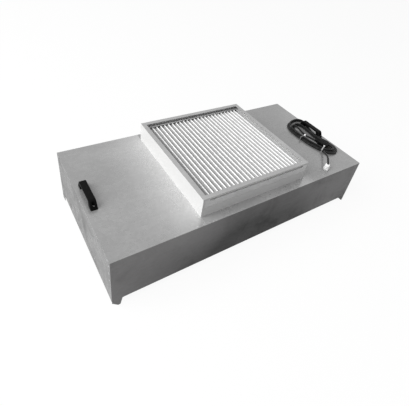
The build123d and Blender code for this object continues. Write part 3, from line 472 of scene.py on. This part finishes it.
def plastic(name, colour, rough=0.42, wear=1.6, shine=0.5, soft=0.0):
    """Moulded plastic: fine grain, rubbed patches and a slightly uneven sheen; soft lets light in."""
    n = Nodes(name)
    fine = n.noise(1500, 2, 0.5)
    rub = n.noise(60, 5, 0.65)
    rubbed = tuple(min(1.0, c * wear + 0.004) for c in colour)
    shown = n.mix(n.span(rub, 0.5, 0.8, 0, 0.6), colour, rubbed)
    roughness = n.span(rub, 0.3, 0.75, rough - 0.1, rough + 0.08)
    return n.finish(
        shown, roughness, n.bump(fine, 0.18, 0.0003), Specular_IOR_Level=shine, Subsurface_Weight=soft,
        Subsurface_Scale=0.008, Subsurface_Radius=(1, 1, 1),
    )


def tie_nylon(name, strap, lock_x, lock_y):
    """Natural nylon: a white moulded lock and a thin strap whose grey is painted shade and a painted
    show-through of the cord.

    strap is the grey of the strap, painted shade; lock_x and lock_y are the place of the lock.
    """
    n = Nodes(name)
    fine = n.noise(900, 3, 0.6)
    yellowing = n.noise(80, 4, 0.6)
    away_x = n.maths("SUBTRACT", n.axis("X"), lock_x)
    away_y = n.maths("SUBTRACT", n.axis("Y"), lock_y)
    away = n.maths("SQRT", n.add(n.times(away_x, away_x), n.times(away_y, away_y)))
    strap_colour = n.ramp(yellowing, [(0.3, strap * 0.85), (0.7, strap)])
    colour = n.mix(n.span(away, 0.006, 0.009), 0.88, strap_colour)
    roughness = n.span(fine, 0.3, 0.7, 0.35, 0.5)
    return n.finish(colour, roughness, n.bump(fine, 0.12, 0.0002), Specular_IOR_Level=0.3)


handle_black = plastic("handle_black", (0.004, 0.004, 0.004), 0.45, wear=1.8, shine=0.05)
gland_white = plastic("gland_white", (0.90, 0.90, 0.895), 0.5, wear=0.94, shine=0.25, soft=0.6)
box_grey = plastic("box_grey", (0.55, 0.55, 0.55), 0.45, wear=0.9)
dress(handle_black, "left_handle", "right_handle", "terminal_block", "plug_body")
dress(gland_white, "gland_body", "gland_dome", "gland_nut")
# The two ties are one nylon; their different strap greys are painted shade.
dress(tie_nylon("tie_1_nylon", strap=0.16, lock_x=0.4785, lock_y=-0.032), "cable_tie_1")
dress(tie_nylon("tie_2_nylon", strap=0.45, lock_x=0.501, lock_y=-0.137), "cable_tie_2")
dress(box_grey, "terminal_box")


def bevel(width, *names):
    """Round the sharp folds and cut edges of CAD pieces so that they catch light."""
    for name in names:
        piece = nodes[name]
        modifier = piece.modifiers.new("edge_round", "BEVEL")
        modifier.width = width
        modifier.segments = 2
        modifier.limit_method = "ANGLE"
        modifier.angle_limit = math.radians(50)
        modifier.harden_normals = True


bevel(0.0009, "top_panel")
bevel(0.0005, "prefilter_rim", "prefilter_housing")

# ---------------------------------------------------------------- power cord
CORD = 0.008

# From the gland to the hank, in metres.
cord_lead = [
    (0.399, -0.250, 0.261),
    (0.409, -0.236, 0.275),
    (0.426, -0.218, 0.274),
    (0.444, -0.199, 0.267),
    (0.460, -0.178, 0.256),
    (0.474, -0.162, 0.249),
]

# Rails of the hank in mm: places of its outermost and innermost strand, once round from the end of the lead.
# The third number is 0 where the strands lie side by side and 1 where two stacks of them pass a handle leg.
rails = [
    ((476.2, -147), (496.5, -138.5), 0), ((466.5, -117), (490, -109), 0), ((458, -82), (483, -78), 0),
    ((453.4, -34), (477.8, -32.2), 0), ((452, 6), (478, 4), 0), ((455, 40), (482, 32), 0),
    ((465, 70), (489, 54), 0.1), ((485, 93), (501, 69), 0.4), ((513, 102), (516, 72.6), 0.8),
    ((541, 105), (530.5, 67), 1), ((563, 100), (538.6, 54), 1), ((575.5, 84), (540.4, 40), 1),
    ((577, 63), (540, 27), 1), ((573.2, 42), (539, 15), 1), ((560, 22), (538, 3), 1),
    ((551, 3), (537, -9), 1), ((545, -16), (534.5, -22), 1), ((540.8, -35), (532.5, -36), 1),
    ((540.1, -55), (531.9, -55), 1), ((541, -76), (532.8, -75), 1), ((550, -95), (538, -94), 0.8),
    ((563, -112), (544, -112), 0.4), ((569, -135), (545.6, -131), 0), ((565.5, -161), (545, -152), 0),
    ((548.5, -184), (536, -166.3), 0), ((521, -194), (521.3, -170.8), 0),
    ((495, -184), (507, -165.8), 0), ((481, -164.5), (497.5, -153.5), 0),
]

# The stations whose strands lie on a cable tie.
tied_stations = (0, 3)
STRANDS = 4

# The lie of the strands in mm, with heights measured from the casing's top.
STRAND_LOW = 4.2
STRAND_GAP = 8.1
TIE_LIFT = 1.4
LAST_TURN_TOP = 14.0
WOBBLE = 0.3

# The stations over which a turn moves to the place of the next strand.
MOVE_FROM = 20
MOVE_STATIONS = 8

# The last turn rises over the first five eighths of that move and shifts across in its last quarter.
RISE_PACE = 1.6
SHIFT_PACE = 4

MM_IN_M = 1000


def strand_place(slot, station):
    """Place in mm of one strand; where the rails leave no room, every other strand lies higher."""
    (out_x, out_y), (in_x, in_y), stacked = rails[station]
    width = math.hypot(in_x - out_x, in_y - out_y)
    shares = [n / (STRANDS - 1) * (1 - stacked) + (n >= STRANDS / 2) * stacked for n in range(STRANDS)]
    beside = (shares[slot] - shares[slot - 1]) * width if slot % 2 else STRAND_GAP
    above = math.sqrt(max(0.0, STRAND_GAP ** 2 - beside ** 2))
    height = STRAND_LOW + above + TIE_LIFT * (station in tied_stations)
    return Vector((out_x + (in_x - out_x) * shares[slot], out_y + (in_y - out_y) * shares[slot], height))


def turn_place(turn, station):
    """Place in mm of a turn at a station: each turn ends where the next strand lies.

    The last turn ends on top of the others instead.
    """
    place = strand_place(turn, station)
    moved = min(1.0, max(0.0, (station - MOVE_FROM) / MOVE_STATIONS))
    if turn < STRANDS - 1:
        place = place.lerp(strand_place(turn + 1, station), moved)
    else:
        shifted = max(0.0, SHIFT_PACE * moved - (SHIFT_PACE - 1))
        place = place.lerp(strand_place(STRANDS - 2, station), shifted)
        risen = min(1.0, RISE_PACE * moved)
        place = Vector((place.x, place.y, place.z + (LAST_TURN_TOP - place.z) * risen))
    wobble_x = WOBBLE * math.sin(2.1 * station + 1.7 * turn)
    wobble_y = WOBBLE * math.cos(1.7 * station + turn)
    return place + Vector((wobble_x, wobble_y, 0))


def on_top(x, y, z):
    """A place in metres from one in mm whose height is measured from the casing's top."""
    return Vector((x / MM_IN_M, y / MM_IN_M, CASING_TOP + z / MM_IN_M))


# Free end of the cord in mm: on top of the hank's left side, round inside its back end and on to the plug.
cord_tail = [
    (489.7, -141.3, 13.9), (482.2, -111.6, 13.2), (473, -80, 12.8), (465.7, -33, 13.4), (464, 4, 12.8),
    (464, 25, 13.2), (464.6, 42, 14), (469, 54.3, 15), (479, 61.6, 16), (491, 61.6, 16.4), (501.4, 54.3, 14),
    (505.5, 41.5, 9.8), (505, 22, 6), (502, -3, 4.4), (499.5, -25, 5.2), (500, -43, 8), (502.9, -58.4, 9.9),
    (506.5, -75, 10),
]
cord_points = [Vector(p) for p in cord_lead]
for turn in range(STRANDS):
    cord_points += [on_top(*turn_place(turn, station)) for station in range(len(rails))]
cord_points += [on_top(*place) for place in cord_tail]


def tube_material():
    """Rubber sheath: satin black, faint extrusion lines, scuffs and a little dust; the lighter patches are
    partly painted sheen.
    """
    n = Nodes("cord_rubber")
    scuff_and_sheen = n.noise(70, 5, 0.7)
    fine = n.noise(1400, 2, 0.5)
    # Lighter patches: partly scuffs and dust, partly painted sheen where light catches the strands.
    colour = n.ramp(scuff_and_sheen, [(0.40, 0.007), (0.58, 0.016), (0.80, 0.055)])
    roughness = n.span(scuff_and_sheen, 0.3, 0.75, 0.30, 0.5)
    return n.finish(colour, roughness, n.bump(fine, 0.15, 0.0003), Specular_IOR_Level=0.2)


cord_rubber = tube_material()


def cord_curve(name, points, radius):
    """One NURBS tube with the route's points as its control points."""
    data = bpy.data.curves.new(name, "CURVE")
    data.dimensions = "3D"
    data.resolution_u = 6
    data.bevel_depth = radius
    data.bevel_resolution = 4
    data.use_fill_caps = True
    spline = data.splines.new("NURBS")
    spline.points.add(len(points) - 1)
    for target, place in zip(spline.points, points):
        target.co = (*place, 1)
    spline.order_u = 3
    spline.use_endpoint_u = True
    data.materials.append(cord_rubber)
    piece = bpy.data.objects.new(name, data)
    scene.collection.objects.link(piece)
    return piece


cord = cord_curve("supply_cord", cord_points, CORD / 2)
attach(cord, "casing")
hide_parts("power_cord", "cord_hank")


def spline_length(piece):
    """Length of the piece's line, from a copy without its bevel."""
    data = piece.data.copy()
    data.bevel_depth = 0
    probe = bpy.data.objects.new("probe", data)
    scene.collection.objects.link(probe)
    evaluated = probe.evaluated_get(bpy.context.evaluated_depsgraph_get())
    mesh = bpy.data.meshes.new_from_object(evaluated)
    points = [v.co.copy() for v in mesh.vertices]
    bpy.data.objects.remove(probe)
    return sum((b - a).length for a, b in zip(points, points[1:]))


cord_length = spline_length(cord)
print("cord length", round(cord_length, 3))


# ---------------------------------------------------------------- floor, world and lamp
AMBIENT_STRENGTH = 0.30
FLOOR_HALF = 7.0
FLOOR_LIT_GREY = 0.35
FLOOR_SEEN_GREY = 0.9
FLOOR_GLOW_SHARE = 0.93
LAMP_PLACE = (-4.2, 0.4, 4.2)
LAMP_TARGET = (0, 0, 0.15)
LAMP_SIZE = 4.5
LAMP_POWER = 455


def white_to_the_eye(tree):
    """1 for camera, glossy and transmission rays, 0 for the rest."""
    path = tree.nodes.new("ShaderNodeLightPath")
    total = None
    for name in ("Is Camera Ray", "Is Glossy Ray", "Is Transmission Ray"):
        if total is None:
            total = path.outputs[name]
            continue
        node = tree.nodes.new("ShaderNodeMath")
        node.operation = "MAXIMUM"
        tree.links.new(total, node.inputs[0])
        tree.links.new(path.outputs[name], node.inputs[1])
        total = node.outputs[0]
    return total


def make_world():
    """White for the camera, dim for what lights the object."""
    world = bpy.data.worlds.new("studio")
    scene.world = world
    world.use_nodes = True
    tree = world.node_tree
    ambient = tree.nodes["Background"]
    ambient.inputs["Color"].default_value = (1, 1, 1, 1)
    ambient.inputs["Strength"].default_value = AMBIENT_STRENGTH
    white = tree.nodes.new("ShaderNodeBackground")
    white.inputs["Color"].default_value = (1, 1, 1, 1)
    white.inputs["Strength"].default_value = 1.0
    mix = tree.nodes.new("ShaderNodeMixShader")
    tree.links.new(white_to_the_eye(tree), mix.inputs[0])
    tree.links.new(ambient.outputs[0], mix.inputs[1])
    tree.links.new(white.outputs[0], mix.inputs[2])
    tree.links.new(mix.outputs[0], tree.nodes["World Output"].inputs["Surface"])


def diffuse(tree, grey):
    """A matt grey shader node."""
    shader = tree.nodes.new("ShaderNodeBsdfDiffuse")
    shader.inputs["Color"].default_value = (grey, grey, grey, 1)
    return shader


def make_floor():
    """A floor that is nearly white to the camera, takes a faint shadow and throws little light back."""
    mesh = bpy.data.meshes.new("studio_floor")
    far = FLOOR_HALF
    mesh.from_pydata([(-far, -far, 0), (far, -far, 0), (far, far, 0), (-far, far, 0)], [], [(0, 1, 2, 3)])
    floor = bpy.data.objects.new("studio_floor", mesh)
    scene.collection.objects.link(floor)
    material = bpy.data.materials.new("floor_pale")
    material.use_nodes = True
    tree = material.node_tree
    tree.nodes.remove(tree.nodes["Principled BSDF"])
    dull = diffuse(tree, FLOOR_LIT_GREY)
    pale = diffuse(tree, FLOOR_SEEN_GREY)
    glow = tree.nodes.new("ShaderNodeEmission")
    glow.inputs["Strength"].default_value = 1.0
    shown = tree.nodes.new("ShaderNodeMixShader")
    shown.inputs[0].default_value = FLOOR_GLOW_SHARE
    tree.links.new(pale.outputs[0], shown.inputs[1])
    tree.links.new(glow.outputs[0], shown.inputs[2])
    mix = tree.nodes.new("ShaderNodeMixShader")
    tree.links.new(white_to_the_eye(tree), mix.inputs[0])
    tree.links.new(dull.outputs[0], mix.inputs[1])
    tree.links.new(shown.outputs[0], mix.inputs[2])
    tree.links.new(mix.outputs[0], tree.nodes["Material Output"].inputs["Surface"])
    mesh.materials.append(material)


def make_lamp():
    """One large square lamp, left of the object and above it, that no gloss mirrors."""
    data = bpy.data.lights.new("key", "AREA")
    data.shape = "SQUARE"
    data.size = LAMP_SIZE
    data.energy = LAMP_POWER
    light = bpy.data.objects.new("key", data)
    light.location = LAMP_PLACE
    light.rotation_euler = (Vector(LAMP_TARGET) - Vector(LAMP_PLACE)).to_track_quat("-Z", "Y").to_euler()
    light.visible_glossy = False
    scene.collection.objects.link(light)


make_world()
make_floor()
make_lamp()
